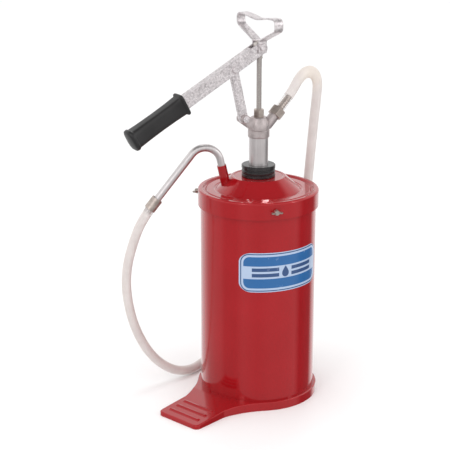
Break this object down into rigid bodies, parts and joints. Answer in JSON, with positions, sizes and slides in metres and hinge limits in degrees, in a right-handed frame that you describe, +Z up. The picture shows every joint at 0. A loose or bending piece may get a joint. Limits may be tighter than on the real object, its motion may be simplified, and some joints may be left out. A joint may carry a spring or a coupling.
{
  "type": "manual oil dispenser pump",
  "caption": "Hand lever pump for gear oil on the lid of a red drum with a foot rest, a clear delivery hose and a steel spout.",
  "frame": {"origin": "on the floor at the drum's axis", "axes": "+Z up along the drum's axis; -X towards the lever's grip; +X towards the outlet"},
  "size_m": [0.4552, 0.3179, 0.7688],
  "materials": {
    "red_paint": "gloss",
    "label_film": "gloss",
    "black_moulding": "gloss",
    "seal_rubber": "matte",
    "tube_steel": "brushed",
    "cast_zinc": "as cast",
    "turned_steel": "turned",
    "plated_nut": "zinc plated",
    "galvanised": "hot-dip galvanised",
    "grip_rubber": "satin, fine texture",
    "hose_pvc": "milky translucent"
  },
  "bodies": {
    "drum": {"base_plate": "red_paint", "drum_shell": "red_paint", "drum_bottom": "red_paint", "drum_label": "label_film"},
    "lid": {"lid": "red_paint", "lid_gasket": "seal_rubber", "lid_bosses": "red_paint", "spout_holder": "red_paint", "adapter_nut": "black_moulding", "adapter_gasket": "seal_rubber", "adapter_locknut": "black_moulding", "pump_tube": "tube_steel", "tube_collar": "cast_zinc", "pump_head": "cast_zinc", "gland_packing": "seal_rubber", "gland_nut": "plated_nut", "union_nut": "plated_nut", "union_washer": "seal_rubber", "hose_tail": "plated_nut", "foot_valve_body": "turned_steel", "foot_ball_stop": "turned_steel", "foot_strainer": "turned_steel", "ear_pin": "galvanised", "spout_tube": "tube_steel", "hose_ferrule": "plated_nut", "hose": "hose_pvc"},
    "rod": {"piston_rod": "turned_steel", "rod_eye": "turned_steel", "rod_pin": "galvanised", "d_handle": "galvanised", "piston_body": "turned_steel", "piston_cup": "seal_rubber"},
    "link": {"link": "galvanised"},
    "lever": {"lever_channel": "galvanised", "lever_grip": "grip_rubber", "fulcrum_pin": "galvanised"},
    "piston_ball": {"piston_ball": "turned_steel"},
    "foot_ball": {"foot_ball": "turned_steel"},
    "wing_screw_1": {"wing_screw_1": "plated_nut"},
    "wing_screw_2": {"wing_screw_2": "plated_nut"},
    "wing_screw_3": {"wing_screw_3": "plated_nut"}
  },
  "joints": [
    {"name": "lid_lift", "type": "slide", "parent": "drum", "child": "lid", "axis": [0, 0, 1], "range_m": [0, 0.42]},
    {"name": "rod_slide", "type": "slide", "parent": "lid", "child": "rod", "axis": [0, 0, -1], "range_m": [0, 0.06]},
    {"name": "link_swing", "type": "hinge", "parent": "lid", "child": "link", "pos_m": [-0.036, 0, 0.571], "axis": [0, -1, 0], "range_deg": [0, 7.9]},
    {"name": "lever_fulcrum", "type": "hinge", "parent": "link", "child": "lever", "pos_m": [-0.0594, 0, 0.6705], "axis": [0, 1, 0], "range_deg": [0, 54.7]},
    {"name": "piston_valve", "type": "slide", "parent": "rod", "child": "piston_ball", "axis": [0, 0, 1], "range_m": [0, 0.004]},
    {"name": "foot_valve", "type": "slide", "parent": "lid", "child": "foot_ball", "axis": [0, 0, 1], "range_m": [0, 0.003]},
    {"name": "wing_screw_1_turn", "type": "hinge", "parent": "lid", "child": "wing_screw_1", "pos_m": [-0.03428, -0.115, 0.4115], "axis": [-0.2857, -0.9583, 0], "continuous": true},
    {"name": "wing_screw_2_turn", "type": "hinge", "parent": "lid", "child": "wing_screw_2", "pos_m": [0.11673, 0.02781, 0.4115], "axis": [0.9728, 0.2317, 0], "continuous": true},
    {"name": "wing_screw_3_turn", "type": "hinge", "parent": "lid", "child": "wing_screw_3", "pos_m": [-0.08245, 0.08719, 0.4115], "axis": [-0.6871, 0.7266, 0], "continuous": true}
  ],
  "couplings": [
    {"joint": "link_swing", "follows": "rod_slide", "rad_per_m": 2.2864},
    {"joint": "lever_fulcrum", "follows": "rod_slide", "rad_per_m": 15.877}
  ]
}
